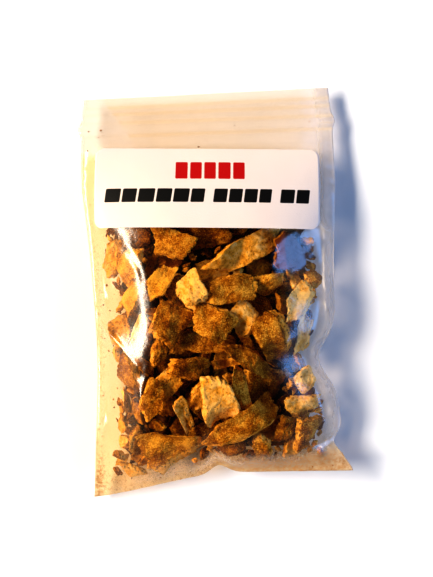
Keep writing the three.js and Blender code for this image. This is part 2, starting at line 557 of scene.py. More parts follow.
def film_finish():
    """Clear glossy film. What isn't mirrored or scattered goes straight through with a faint tint.

    The mark haze is how milky the film is, and dust is how much of its inner side is covered with fine brown
    dust.
    The third mark paints light and shade into the film's tint: warm and cream where the warm key light falls,
    on the left and on the header, and cool grey where the right side is in shade.
    """
    finish = new_finish("clear_film")
    place = finish.place()
    haze, amber, dust = finish.mark("haze"), finish.mark("amber"), finish.mark("dust")
    facing = finish.node("ShaderNodeLayerWeight", None, {"Blend": 0.5}, output="Facing")
    mirrored = 0.04 + 0.9 * facing**5
    smears = finish.noise(place, 0.006, detail=3.0, rough=0.6)
    milky = (haze * (0.7 + 0.6 * smears)).at_most(1.0)
    creases = finish.noise(place, 0.0035, detail=2.0, rough=0.5, shift=0.2)
    pull = finish.noise(place, 0.0009, detail=1.0, rough=0.5, shift=0.4)
    normal = finish.bump(creases + 0.12 * pull, 0.00012)
    rough = 0.17 + 0.10 * haze + 0.05 * smears
    gloss = finish.node(
        "ShaderNodeBsdfGlossy", None, {"Color": (1.0, 1.0, 1.0, 1.0), "Roughness": rough, "Normal": normal}
    )

    def tinted(kind, cool, warm):
        """One kind of plain shader in a shaded cool tint and a lit warm tint, mixed by the painted warmth:
        painted light and shade.
        """
        return finish.blend_shaders(amber, finish.plain_shader(kind, cool), finish.plain_shader(kind, warm))

    clear = tinted("ShaderNodeBsdfTransparent", SHADED_COOL_TINT, LIT_WARM_TINT)
    scattered_back = tinted("ShaderNodeBsdfDiffuse", SHADED_HAZE_GREY, LIT_HAZE_CREAM)
    scattered_on = tinted("ShaderNodeBsdfTranslucent", SHADED_HAZE_GREY, LIT_HAZE_CREAM)
    cloud = finish.blend_shaders(0.4, scattered_back, scattered_on)
    body = finish.blend_shaders(milky, clear, cloud)
    powder = finish.noise(place, 0.0011, detail=3.0, rough=0.7, shift=0.6)
    dusty = (powder + dust * 0.6).ramp(0.62, 1.05) * dust.ramp(0.0, 0.2) * 0.8
    body = finish.blend_shaders(dusty, body, finish.plain_shader("ShaderNodeBsdfDiffuse", DUST))
    return finish.finished(finish.blend_shaders(mirrored, body, gloss))


def label_finish():
    """Matt white paper with one red row and one black row of plain blocks, in the label's own millimetres."""
    finish = new_finish("label_paper")
    place = finish.place()
    flat = finish.node("ShaderNodeUVMap", {"uv_map": "UVMap"})
    side = finish.node("ShaderNodeSeparateXYZ", None, [flat], output="X")
    up = finish.node("ShaderNodeSeparateXYZ", None, [flat], output="Y")
    fibre = finish.noise(place, 0.0005, detail=3.0, rough=0.6)
    cloudy = finish.noise(place, 0.011, detail=2.0, rough=0.5)
    soft_corner, word_space = 0.35, 2.1

    def block(left, right, low, high, slant):
        """1 inside a rectangle with soft corners, whose sides lean by slant millimetres for each one up."""
        lean = side - slant * up if slant else side
        wide = (lean - (left + right) / 2).size() - ((right - left) / 2 - soft_corner)
        tall = (up - (low + high) / 2).size() - ((high - low) / 2 - soft_corner)
        corner = (wide.at_least(0.0) ** 2 + tall.at_least(0.0) ** 2) ** 0.5
        return 1 - (corner + (fibre - 0.5) * 0.06).ramp(0.3, 0.4)

    def row(start, widths, gap, low, high, slant=0.0):
        """Blocks side by side. A width of None leaves a word's space."""
        covered, left = 0.0, start
        for width in widths:
            if width is None:
                left += word_space
                continue
            covered = block(left, left + width, low, high, slant) + covered
            left += width + gap
        return covered.at_most(1.0)

    red = row(-9.2, [3.6, 3.4, 3.4, 3.6, 3.4], 0.75, 2.6, 7.8)
    words = [4.6, 4.2, 4.8, 4.4, 4.5, 3.9, None, 3.9, 3.8, 3.8, 3.5, None, 4.1, 3.8]
    black = row(-29.6, words, 0.6, -4.5, -0.4, slant=0.12)
    paper = finish.mix(cloudy, PAPER_DULL, PAPER_BRIGHT)
    paper = finish.mix(fibre * 0.12, paper, PAPER_FIBRE)
    colour = finish.mix(black, finish.mix(red, paper, RED_INK), BLACK_INK)
    normal = finish.bump(fibre + 0.5 * cloudy, 0.00005)
    rough = 0.6 + 0.1 * fibre
    shader = finish.principled(Base_Color=colour, Roughness=rough, Normal=normal, Specular_IOR_Level=0.2)
    return finish.finished(shader)


def floor_finish():
    """A pale matt table, with the faintest mottle."""
    finish = new_finish("pale_floor")
    mottle = finish.noise(finish.place(), 0.05, detail=2.0)
    colour = finish.mix(mottle, TABLE_DULL, TABLE_BRIGHT)
    return finish.finished(finish.principled(Base_Color=colour, Roughness=0.9, Specular_IOR_Level=0.1))


# ----------------------------------------------------------------------------------------------------
# How the peel is cut.


class Cut:
    """How one kind of piece is chopped. Sizes are in millimetres, and each pair is the smallest and largest.

    A piece is a grid of section rows by turns round it. slim is its width over its length, and sides is how
    many cuts go round it. curl is its largest bend, in radians for each millimetre. tip is how far it tips
    off the film's slope, in radians, and sink is how far it stays under the highest place it could reach.
    """

    def __init__(
        self, name, count, turns, rows, thick, tip, length=None, slim=None, curl=None, sink=None, sides=(4, 5)
    ):
        self.name = name
        self.count = count
        self.turns = turns
        self.rows = rows
        self.thick = thick
        self.tip = tip
        self.length = length
        self.slim = slim
        self.curl = curl
        self.sink = sink
        self.sides = sides

    def sizes(self, rng):
        """Each piece's own sizes, drawn at random."""
        return {
            "length": rng.uniform(*self.length, self.count),
            "slim": rng.uniform(*self.slim, self.count),
            "thick": rng.uniform(*self.thick, self.count),
            "bend": rng.normal(0.35, 0.5, self.count).clip(-0.8, 1) * self.curl,
            "sides": rng.integers(self.sides[0], self.sides[1] + 1, self.count),
            "heading": rng.uniform(0, 2 * np.pi, self.count),
            "away": rng.uniform(0.36, 0.5, self.count),
            "tone": rng.uniform(0, 1, self.count),
            "zest_up": rng.random(self.count) > 0.42,
        }


class Laid(Cut):
    """Large pieces that lie in chosen places right under the film. A row of places is one piece:

    x and y of its middle, length, width, turn in degrees, cuts round its outline, 1 for zest up or 0 for
    pith up, how pale it is, bend in radians for each millimetre, and how far it stays below the film.
    """

    def __init__(self, name, places, turns, rows):
        super().__init__(name, len(places), turns, rows, thick=(1.7, 2.6), tip=0.22)
        self.places = np.array(places, float)

    def sizes(self, rng):
        """Each piece's chosen sizes. A narrow one is thinner, and a three-sided one has its cuts nearer."""
        _, _, length, width, _, sides, zest_up, tone, bend, _ = self.places.T
        triangular = sides == 3
        return {
            "length": length,
            "slim": width / length,
            "thick": rng.uniform(*self.thick, self.count) * np.minimum(1, width / 8 + 0.2),
            "bend": bend,
            "sides": sides.astype(int),
            "heading": rng.uniform(-0.2, 0.2, self.count),
            "away": np.where(triangular, 0.36, 0.52),
            "tone": tone,
            "zest_up": zest_up > 0.5,
        }


LARGE_PLACES = [
    # The first piece has a paleness below 0, so it is painted nearly black: painted shade for the deep hollow
    # by the label's lower right corner.
    (23.6, 71.4, 12.5, 9.0, -40, 5, 1, -1.0, 0.0, 1.8),
    (-11.0, 75.6, 12.6, 8.4, -3, 4, 1, 0.6, 0.02, 0.0),
    (7.6, 21.6, 25.0, 7.6, 27, 5, 1, 0.55, 0.03, 0.0),
    (0.2, 30.6, 13.0, 8.4, -66, 4, 0, 0.9, -0.05, 0.0),
    (7.8, 31.4, 14.8, 4.6, -70, 5, 1, 0.7, 0.05, 0.0),
    (7.5, 72.0, 17.5, 8.0, 12, 5, 0, 0.55, -0.09, 0.2),
    (-5.4, 62.8, 6.6, 8.2, 4, 4, 0, 0.95, 0.03, 0.0),
    (4.6, 63.9, 15.0, 8.0, 6, 4, 1, 0.6, 0.02, 0.0),
    (-0.2, 53.2, 12.6, 9.8, -42, 4, 1, 0.6, 0.02, 0.0),
    (17.8, 46.0, 15.5, 8.0, -64, 4, 1, 0.45, 0.03, 0.2),
    (12.6, 40.4, 15.0, 6.5, -20, 5, 1, 0.35, 0.05, 1.6),
    (24.4, 57.4, 12.0, 5.6, 52, 5, 0, 0.95, -0.03, 0.2),
    (-11.8, 53.0, 11.0, 9.4, 70, 4, 1, 0.5, 0.04, 0.6),
    (-15.6, 14.6, 14.5, 14.0, 205, 3, 1, 0.65, 0.02, 0.0),
    (14.6, 32.4, 12.0, 10.6, 85, 4, 1, 0.5, 0.03, 0.6),
    (-2.0, 46.0, 16.0, 5.6, -9, 5, 1, 0.35, 0.04, 1.8),
    (-1.5, 76.6, 14.5, 7.0, -14, 5, 1, 0.25, 0.03, 2.4),
    (-9.3, 24.2, 5.0, 12.4, 28, 4, 0, 0.75, 0.30, 0.0),
    (26.8, 18.8, 11.5, 8.6, 68, 3, 1, 0.4, 0.03, 0.4),
    (-18.6, 29.0, 11.0, 6.2, 72, 5, 1, 0.5, 0.06, 0.8),
    (-23.6, 70.0, 10.0, 7.4, 60, 5, 1, 0.8, 0.04, 0.6),
    (-6.2, 40.2, 9.8, 7.6, 5, 5, 1, 0.35, 0.05, 1.6),
]

MIDDLING_PLACES = [
    (-4.4, 57.2, 5.2, 6.6, 50, 4, 0, 0.7, 0.03, 0.0),
    (17.4, 76.8, 7.6, 5.6, 85, 4, 0, 0.75, 0.05, 0.0),
    (9.4, 53.0, 8.6, 7.4, 40, 4, 0, 0.75, -0.08, 0.2),
    (14.8, 63.0, 10.6, 5.2, 12, 5, 1, 0.75, 0.06, 0.5),
    (15.4, 57.0, 8.0, 6.4, -55, 5, 1, 0.5, 0.08, 1.2),
    (5.4, 59.2, 8.6, 4.6, -12, 5, 0, 0.15, 0.04, 2.6),
    (23.6, 45.4, 9.4, 5.0, 76, 4, 0, 0.75, -0.08, 0.4),
    (-14.2, 61.6, 9.4, 6.0, 60, 5, 1, 0.9, 0.07, 0.3),
    (-23.2, 60.2, 9.4, 6.0, 70, 5, 1, 1.0, 0.05, 0.3),
    (-28.4, 71.4, 11.0, 4.0, 86, 5, 0, 0.6, 0.05, 0.4),
    (-28.0, 49.6, 10.4, 4.2, -70, 5, 0, 0.5, 0.05, 0.3),
    (-23.2, 50.2, 12.0, 4.0, 84, 5, 1, 1.0, 0.06, 0.3),
    (-15.0, 45.0, 9.0, 4.0, 68, 5, 1, 0.55, 0.08, 0.8),
    (4.2, 40.0, 9.6, 2.8, 4, 4, 0, 0.35, 0.04, 0.6),
    (-14.4, 33.6, 11.2, 4.0, 58, 5, 1, 0.75, 0.08, 0.0),
    (-25.2, 37.4, 9.8, 5.8, 80, 5, 1, 0.4, 0.05, 0.6),
    (-4.6, 32.0, 8.4, 5.6, 72, 5, 0, 0.45, 0.06, 1.0),
    (-5.4, 26.4, 10.0, 3.8, -56, 5, 1, 0.45, 0.08, 1.0),
    (-2.0, 20.2, 9.0, 6.0, 24, 3, 1, 0.55, 0.05, 0.4),
    (18.8, 20.0, 8.0, 5.2, 80, 4, 1, 0.35, 0.05, 0.3),
    (25.2, 27.4, 10.4, 3.6, 8, 4, 0, 0.6, 0.03, 0.2),
    (26.6, 33.6, 6.6, 4.8, 82, 4, 0, 0.9, 0.04, 0.2),
    (14.2, 14.6, 8.4, 4.8, -72, 5, 1, 0.6, 0.06, 0.2),
    (-23.4, 17.4, 9.4, 4.6, 80, 5, 1, 0.7, 0.06, 0.3),
    (-30.6, 8.0, 6.2, 5.4, 80, 5, 1, 0.5, 0.05, 0.2),
    (-26.4, 9.0, 7.4, 4.2, -42, 3, 0, 0.75, 0.04, 0.1),
    (-25.6, 29.4, 7.0, 4.0, 82, 4, 0, 0.95, -0.04, 0.1),
    (-28.8, 16.4, 7.0, 4.6, 30, 5, 0, 0.5, 0.05, 0.3),
    (23.2, 64.0, 6.4, 3.8, -60, 4, 0, 0.5, 0.05, 1.6),
    (28.4, 63.0, 5.0, 4.2, -40, 4, 1, 0.45, 0.05, 0.8),
    (-22.8, 76.6, 8.0, 7.0, 75, 5, 1, 0.25, 0.04, 1.2),
    (22.6, 14.2, 7.6, 4.4, 20, 5, 0, 0.5, 0.05, 0.5),
    (2.8, 14.8, 8.4, 4.6, 10, 5, 1, 0.35, 0.05, 1.0),
    (29.4, 12.6, 6.4, 3.8, 15, 4, 1, 0.4, 0.05, 0.5),
]

CUTS = [
    Laid("peel_slabs", LARGE_PLACES, 84, (16, 9, 10)),
    Laid("peel_cuts", MIDDLING_PLACES, 64, (13, 8, 8)),
    Cut(
        "peel_chunks", 66, 48, (11, 6, 7), length=(8.0, 12.5), slim=(0.55, 0.95), thick=(2.0, 3.0),
        curl=0.09, tip=0.24, sink=(1.2, 3.6), sides=(3, 5),
    ),
    Cut(
        "peel_strips", 34, 50, (9, 6, 7), length=(9.0, 14.0), slim=(0.26, 0.42), thick=(1.6, 2.6),
        curl=0.14, tip=0.30, sink=(0.8, 3.0),
    ),
    Cut(
        "peel_bits", 120, 36, (8, 5, 5), length=(4.2, 7.4), slim=(0.5, 0.95), thick=(1.4, 2.4),
        curl=0.12, tip=0.45, sink=(0.5, 3.0), sides=(3, 5),
    ),
    Cut(
        "peel_flakes", 230, 22, (5, 3, 3), length=(2.0, 4.2), slim=(0.4, 0.95), thick=(0.7, 1.5),
        curl=0.16, tip=0.60, sink=(0.2, 2.6), sides=(3, 5),
    ),
]


def spectral(points, wavelength, rng, waves):
    """Smooth noise of about unit spread: a sum of cosine waves in random directions.

    Each piece has its own phases.
    """
    total = np.zeros(points.shape[:2])
    for _ in range(waves):
        heading = rng.normal(size=3)
        heading /= np.linalg.norm(heading)
        number = 2 * np.pi / (wavelength * rng.uniform(0.7, 1.45))
        phase = rng.uniform(0, 2 * np.pi, (len(points), 1))
        total += np.cos(points @ (heading * number) + phase)
    return total * math.sqrt(2 / waves)


def section_rows(counts):
    """The outline of a piece's section, from the middle of the zest over the rim to the middle of the pith.

    Gives, for each row, how far out it is, its height as a share of the thickness, how much is zest, and how
    much of it is cut edge. The faces droop a little towards the rim, which is half a cosine.
    """
    top, edge, bottom = counts
    out_top = np.linspace(1 / (top + 0.5), 0.962, top)
    turn = np.linspace(0.13, 0.87, edge)
    out_edge = 0.97 + 0.03 * np.sin(np.pi * turn) ** 0.5
    out_bottom = np.linspace(0.955, 1 / (bottom + 0.5), bottom)
    out = np.concatenate([out_top, out_edge, out_bottom])
    height_top, height_bottom = 0.5 - 0.06 * out_top**8, -0.5 + 0.08 * out_bottom**8
    height = np.concatenate([height_top, 0.46 * np.cos(np.pi * turn), height_bottom])
    zest = np.concatenate([np.ones(top), ramp(0.34, 0.2, turn), np.zeros(bottom)])
    cut = np.concatenate([np.zeros(top), np.ones(edge), np.zeros(bottom)])
    return out, height, zest, cut


# The waves that make a rim ragged: how many go round it, and how deep they are as a share of its radius.
RIM_WAVES = ((3, 0.03), (5, 0.025), (8, 0.024), (13, 0.022), (21, 0.018))


def rim_radius(sizes, angle, rng):
    """Each piece's rim: the nearest of a few straight cuts, with rounded corners, a ragged edge and one nick.

    A cut lies at a distance along its own direction, so the rim there is distance / cos(angle from it). The
    cuts are joined by a power mean, whose power says how sharp the corners are.
    """
    count, most = len(sizes["sides"]), int(sizes["sides"].max())
    number = sizes["sides"][:, None]
    which = np.arange(most)[None, :]
    heading = 2 * np.pi * (which + rng.uniform(-0.22, 0.22, (count, most))) / number
    heading += sizes["heading"][:, None]
    away = sizes["away"][:, None] * rng.uniform(0.82, 1.08, (count, most))
    away = np.where(which < number, away, 1e6)
    lean = np.cos(angle[None, None, :] - heading[:, :, None]).clip(0.02, None)
    sharpness, longest = 30, 0.74
    rim = ((lean / away[:, :, None]) ** sharpness).sum(1) ** (-1 / sharpness)
    rim = np.minimum(rim, longest)
    nick = rng.uniform(0, 2 * np.pi, (count, 1))
    wide = rng.uniform(0.25, 0.6, (count, 1))
    rim *= 1 - rng.uniform(0, 0.24, (count, 1)) * np.exp((np.cos(angle - nick) - 1) / wide**2)
    for waves, depth in RIM_WAVES:
        rim *= 1 + depth * np.cos(waves * angle + rng.uniform(0, 2 * np.pi, (count, 1)))
    return rim


def chopped(cut, sizes, rng):
    """Flat pieces, each round its own origin, with the share of zest and of cut edge at each point.

    A point is at the rim's radius times how far out its row is, and at its row's share of the thickness. One
    more point closes the middle of each face. The chop is at a slant, so a point shifts sideways with its
    height.
    """
    out, height, zest, edge = section_rows(cut.rows)
    angle = np.linspace(0, 2 * np.pi, cut.turns, endpoint=False)
    rim = rim_radius(sizes, angle, rng)
    length, slim, thick = (sizes[name][:, None, None] for name in ("length", "slim", "thick"))
    radius = out[None, :, None] * rim[:, None, :]
    x = length * radius * np.cos(angle)
    y = length * slim * radius * np.sin(angle)
    z = thick * np.broadcast_to(height[None, :, None], x.shape)
    flat = np.stack([x, y, z], -1).reshape(cut.count, -1, 3)
    middles = np.zeros((cut.count, 2, 3))
    middles[:, 0, 2] = 0.5 * thick[:, 0, 0]
    middles[:, 1, 2] = -0.5 * thick[:, 0, 0]
    flat = np.concatenate([middles[:, :1], flat, middles[:, 1:]], 1)
    slant = rng.normal(0, 0.6, (cut.count, 1, 2))
    flat[:, :, :2] -= slant * flat[:, :, 2:]

    def by_point(by_row, first, last):
        """Each row's value at all of its points, between the values of the two middle points."""
        return np.concatenate([[first], np.repeat(by_row, cut.turns), [last]])[None, :]

    return flat, by_point(zest, 1.0, 0.0), by_point(edge, 0.0, 0.0)


def roughened(flat, zest, edge, sizes, rng):
    """Grainy zest, felted pith, a porous cut edge, a slow warp, and a crease along one line.

    Each is smooth noise of its own wavelength, in millimetres, added to the heights, or to the distance from
    the middle on the cut edge. Gives the flat pieces back, and how far the surface stands out.
    """
    length, thick = sizes["length"][:, None], sizes["thick"][:, None]
    upwards = np.sign(flat[:, :, 2])
    grainy = spectral(flat, 1.15, rng, 18)
    felted = 1 - np.abs(spectral(flat, 3.6, rng, 12)).clip(0, 1.6)
    porous = spectral(flat, 1.0, rng, 18)
    swell = spectral(flat * (1, 1, 0), 6.0, rng, 10)
    heading = rng.uniform(0, 2 * np.pi, (len(flat), 1))
    from_crease = flat[:, :, 0] * np.cos(heading) + flat[:, :, 1] * np.sin(heading)
    from_crease -= length * rng.uniform(-0.2, 0.2, (len(flat), 1))
    crease = rng.normal(0.24, 0.3, (len(flat), 1)) * (0.25 - np.hypot(from_crease, 0.25))
    skin = 0.04 * grainy - 0.12 * ramp(0.9, 1.7, -grainy)
    inner = 0.13 * felted * np.minimum(1, thick / 1.8) + 0.05 * grainy
    flat[:, :, 2] += (1 - edge) * upwards * (zest * skin + (1 - zest) * inner)
    torn = edge * (0.11 * porous - 0.2 * ramp(0.6, 1.4, -porous))
    flat[:, :, :2] *= (1 + torn / np.linalg.norm(flat, axis=2).clip(1, None))[:, :, None]
    flat[:, :, 2] += 0.34 * swell * np.minimum(1, length / 8) + crease
    relief = 0.5 + 0.22 * np.where(zest > 0.5, grainy, 1.4 * felted - 0.6) - 0.1 * edge
    return flat, relief.clip(0, 1)


def rolled(flat, sizes, rng):
    """The pieces rolled round a cylinder of radius 1 / bend and twisted a little. Some are turned over."""
    straightest = 0.004
    bend = sizes["bend"][:, None]
    bend = np.where(np.abs(bend) < straightest, straightest, bend)
    radius = 1 / bend + flat[:, :, 2]
    turn = flat[:, :, 0] * bend
    body = np.stack([radius * np.sin(turn), flat[:, :, 1], radius * np.cos(turn) - 1 / bend], -1)
    twist = rng.normal(0, 0.012, len(flat))[:, None]
    body[:, :, 2] += twist * body[:, :, 0] * body[:, :, 1]
    body[~sizes["zest_up"]] *= (1, -1, -1)
    return body


def cut_pieces(cut, rng):
    """All the pieces of one kind, each round its own origin: (pieces, points, 3), and their marks."""
    sizes = cut.sizes(rng)
    flat, zest, edge = chopped(cut, sizes, rng)
    flat, relief = roughened(flat, zest, edge, sizes, rng)
    marks = {
        "zest": np.broadcast_to(zest, relief.shape),
        "edge": np.broadcast_to(edge, relief.shape),
        "relief": relief,
        "tone": np.tile(sizes["tone"][:, None], relief.shape[1]),
    }
    return rolled(flat, sizes, rng), marks


def piece_faces(count, rows, turns):
    """The faces of some pieces: quads between the rows, and a fan at each middle point."""
    ring = 1 + np.arange(rows * turns).reshape(rows, turns)
    following = np.roll(ring, -1, axis=1)
    quads = np.stack([ring[:-1], ring[1:], following[1:], following[:-1]], -1).reshape(-1, 4)
    last = rows * turns + 1
    top = np.stack([np.zeros(turns, int), ring[0], following[0]], -1)
    bottom = np.stack([ring[-1], np.full(turns, last), following[-1]], -1)
    offsets = (np.arange(count) * (last + 1))[:, None, None]
    return [(quads + offsets).reshape(-1, 4), (np.concatenate([top, bottom]) + offsets).reshape(-1, 3)]


# ----------------------------------------------------------------------------------------------------
# The heap. The plan is divided into small square cells, each with the height that is still free in it.

CELL = 0.6
CELLS_X = np.arange(-40, 41, CELL)
CELLS_Y = np.arange(-1, 124, CELL)


class Batch:
    """All the pieces of one kind: their shapes and marks, and where each one lies, or None."""

    def __init__(self, cut, rng):
        self.cut = cut
        self.shapes, self.marks = cut_pieces(cut, rng)
        self.placed = [None] * cut.count


class Heap:
    """The free space in the bag.

    Pieces are pushed up against the film or the pieces that are already there, or dropped on the back film.
    For each cell, film is the highest that peel may reach, and bed and free are the space's floor and roof.
    """

    def __init__(self, front):
        x, y = np.meshgrid(CELLS_X, CELLS_Y, indexing="ij")
        across, along = pattern_at(x, y)
        taut = front.sample(front.taut, across, along)
        self.film = taut - CONTACT
        self.free = self.film.copy()
        self.inside = self.filled(across, along)
        self.bed = np.where(self.inside, back_height(across, along) + 0.15, FAR)
        self.plenty = 0.04 + ramp(4, 12, along)  # how much of the peel lies so far up the bag
        slope_x, slope_y = np.gradient(smoothed(taut, 12), CELL)
        self.slope = np.stack([slope_x, slope_y], -1)

    @staticmethod
    def filled(across, along):
        """Where there is peel: inside ragged lines along the sides and the seam, with bells as bulges."""
        left = -0.835 - 0.06 * hump(along, 46, 6) - 0.05 * hump(along, 74, 7) - 0.07 * ramp(20, 7, along)
        left += 0.04 * hump(along, 59, 5) + 0.04 * hump(along, 34, 5) - 0.015 * np.sin(along / 1.1)
        right = 0.86 + 0.04 * ramp(26, 12, along) + 0.015 * np.sin(along / 1.7) - 0.3 * ramp(74, 78, along)
        low = 3.0 + 0.7 * np.sin(across * 5.0) + 0.5 * np.sin(across * 17.0)
        return (across > left) & (across < right) & (along > low) & (along < 90)

    @staticmethod
    def cell(x, y):
        """The cells that points fall in."""
        column = np.rint((x - CELLS_X[0]) / CELL).astype(int).clip(0, len(CELLS_X) - 1)
        row = np.rint((y - CELLS_Y[0]) / CELL).astype(int).clip(0, len(CELLS_Y) - 1)
        return column, row

    def turned(self, shape, turn, slope, centre_x, centre_y):
        """Copies of a piece, turned, laid along a slope and put over their centres, with their cells."""
        copies = np.einsum("tij,nj->tni", turn_matrices(turn, slope), shape)
        copies[:, :, 0] += centre_x[:, None]
        copies[:, :, 1] += centre_y[:, None]
        return copies, self.cell(copies[:, :, 0], copies[:, :, 1])

    def raised(self, shape, turn, slope, centre_x, centre_y, sink):
        """Such copies, raised until a point meets what is above, less how far they sink."""
        copies, cells = self.turned(shape, turn, slope, centre_x, centre_y)
        copies[:, :, 2] += (self.free[cells] - copies[:, :, 2]).min(1)[:, None] - sink
        return copies, cells

    def taken(self, chosen):
        """Takes a piece's space from the roof, if it found any."""
        if chosen is not None:
            np.minimum.at(self.free, self.cell(chosen[:, 0], chosen[:, 1]), chosen[:, 2] - CLEAR)
        return chosen

    def lay(self, shape, place, tip, rng, tries=60):
        """Lays a piece by its chosen place: of some small shifts, turns and tips, the one that fits best.

        It may reach past the heap's outline where it stays above the side welds.
        """
        x, y, turn, sink = place[[0, 1, 4, 9]]
        over_weld = 7
        slope = self.slope[self.cell(x, y)] * 0.92 + rng.normal(0, tip, (tries, 2))
        shift = rng.normal(0, 0.8, (tries, 2))
        turns = math.radians(turn) + rng.normal(0, 0.12, tries)
        copies, cells = self.raised(shape, turns, slope, x + shift[:, 0], y + shift[:, 1], sink)
        fits = (copies[:, :, 2] - self.bed[cells].clip(None, over_weld)).min(1) > 0
        below = (self.film[cells] - copies[:, :, 2]).mean(1) + 0.5 * np.hypot(*shift.T)
        return self.taken(best_try(copies, fits, below))

    def push_up(self, shape, tip, sink, rng, spots=14, turns=6):
        """Finds the place where a piece fits closest under the film, and takes that space.

        Spots are drawn where the free height is near the film. At each one the piece is laid along the film's
        slope, tipped at random, and turned, and it rises until a point meets what is above it.
        """
        depth = self.film - self.free
        wanted = np.where(self.inside, np.exp(-depth / 1.1) * self.plenty, 0).ravel()
        picks = rng.choice(wanted.size, spots, p=wanted / wanted.sum())
        column, row = np.unravel_index(np.repeat(picks, turns), depth.shape)
        tries = len(column)
        centre_x = CELLS_X[column] + rng.uniform(-0.5, 0.5, tries) * CELL
        centre_y = CELLS_Y[row] + rng.uniform(-0.5, 0.5, tries) * CELL
        slope = self.slope[column, row] * 0.9 + rng.normal(0, tip, (tries, 2))
        copies, cells = self.raised(shape, rng.uniform(0, 2 * np.pi, tries), slope, centre_x, centre_y, sink)
        fits = (copies[:, :, 2] - self.bed[cells]).min(1) > 0
        below = (self.film[cells] - copies[:, :, 2]).mean(1)
        return self.taken(best_try(copies, fits, below))

    def drop(self, shape, rng, tries=40):
        """Lets a piece down on the back film, where it lies lowest, and raises the floor there."""
        lowest = self.bed[self.inside].min()
        wanted = np.where(self.inside, np.exp(-(self.bed - lowest) / 1.5), 0).ravel()
        picks = rng.choice(wanted.size, tries, p=wanted / wanted.sum())
        column, row = np.unravel_index(picks, self.bed.shape)
        turn, slope = rng.uniform(0, 2 * np.pi, tries), rng.normal(0, 0.05, (tries, 2))
        copies, cells = self.turned(shape, turn, slope, CELLS_X[column], CELLS_Y[row])
        copies[:, :, 2] += (self.bed[cells] - copies[:, :, 2]).max(1)[:, None]
        fits = (self.free[cells] - copies[:, :, 2]).min(1) > 0
        chosen = best_try(copies, fits, copies[:, :, 2].mean(1))
        if chosen is not None:
            np.maximum.at(self.bed, self.cell(chosen[:, 0], chosen[:, 1]), chosen[:, 2] + CLEAR)
        return chosen


def best_try(copies, fits, score):
    """Of the copies that fit, the one with the lowest score, or None."""
    score = np.where(fits, score, np.inf)
    best = int(score.argmin())
    return copies[best] if np.isfinite(score[best]) else None


def turn_matrices(turn, slope):
    """Rotations that turn a piece round its own axis by turn, then lay it along a slope (dz/dx, dz/dy)."""
    up = np.stack([-slope[:, 0], -slope[:, 1], np.ones(len(turn))], -1)
    up /= np.linalg.norm(up, axis=1, keepdims=True)
    first = np.stack([np.cos(turn), np.sin(turn), np.zeros(len(turn))], -1)
    first -= (first * up).sum(1, keepdims=True) * up
    first /= np.linalg.norm(first, axis=1, keepdims=True)
    return np.stack([first, np.cross(up, first), up], -1)


def heaped_peel(front):
    """All the peel, packed: the heap, and a batch of each kind, in the order that the pieces are laid in."""
    rng = np.random.default_rng(41)
    heap = Heap(front)
    batches = [Batch(cut, rng) for cut in CUTS]
    slabs, cuts, chunks, strips, bits, flakes = batches

    def laid(batch, index):
        return heap.lay(batch.shapes[index], batch.cut.places[index], batch.cut.tip, rng)

    def dropped(batch, index):
        return heap.drop(batch.shapes[index], rng)

    def pushed(batch, index):
        """Deeper pieces have their paleness lowered with their depth: painted shade, not a darker peel."""
        sink = rng.uniform(*batch.cut.sink)
        batch.marks["tone"][index] *= 1 - 0.22 * sink
        return heap.push_up(batch.shapes[index], batch.cut.tip, sink, rng)

    rounds = (
        (slabs, 0, slabs.cut.count, laid),
        (cuts, 0, cuts.cut.count, laid),
        (chunks, 46, 66, dropped),
        (bits, 96, 120, dropped),
        (chunks, 0, 30, pushed),
        (strips, 0, 18, pushed),
        (bits, 0, 50, pushed),
        (flakes, 0, 70, pushed),
        (strips, 18, 34, pushed),
        (chunks, 30, 46, pushed),
        (bits, 50, 96, pushed),
        (flakes, 70, 230, pushed),
    )
    for batch, start, stop, way in rounds:
        for index in range(start, stop):
            batch.placed[index] = way(batch, index)
    return heap, batches


def peel_tops(batches, heap):
    """The highest point of the peel in each cell."""
    tops = np.full(heap.film.shape, -FAR)
    for batch in batches:
        for points in batch.placed:
            if points is not None:
                np.maximum.at(tops, heap.cell(points[:, 0], points[:, 1]), points[:, 2])
    return tops


def make_peel(batches):
    """One piece for each kind, of every body that found room."""
    for batch in batches:
        cut = batch.cut
        found = [index for index, points in enumerate(batch.placed) if points is not None]
        points = in_frame(np.stack([batch.placed[index] for index in found]).reshape(-1, 3))
        marks = {name: values[found] for name, values in batch.marks.items()}
        faces = piece_faces(len(found), sum(cut.rows), cut.turns)
        new_piece(cut.name, points, faces, peel_finish(cut.name), "dried_peel", marks)


def make_core(heap):
    """The heart of the heap: a lumpy body between the lower pieces and the upper ones, thin at its rim,
    painted nearly black as shade.
    """
    left, right, low, high = -0.76, 0.80, 8, 86
    across, along = np.meshgrid(np.linspace(left, right, 90), np.linspace(low, high, 100))
    ragged = 1 - 0.05 * np.sin(along / 3.1 + 2) ** 2 - 0.03 * np.sin(along / 1.3)
    x, y = plan(across * ragged, along)
    cells = heap.cell(x, y)
    roof = np.where(heap.inside, heap.free, heap.film - 9)
    bed = np.where(heap.inside, heap.bed, 0.6)
    top = lowest_within(roof, 2)[cells] - 0.35
    bottom = highest_within(bed, 2)[cells] + 0.2
    from_rim = np.minimum.reduce([across - left, right - across, (along - low) / 40, (high - along) / 40])
    middle = (top + bottom) / 2
    room = np.maximum(top - bottom, CLEAR) * (0.02 + 0.98 * ramp(0, 0.12, from_rim))
    upper = np.stack([x, y, np.minimum(middle + room / 2, np.maximum(top, bottom + CLEAR))], -1)
    lower = np.stack([x, y, middle - room / 2], -1)
    slab_piece("peel_core_shade", in_frame(upper), in_frame(lower), core_shade_finish(), "dried_peel")


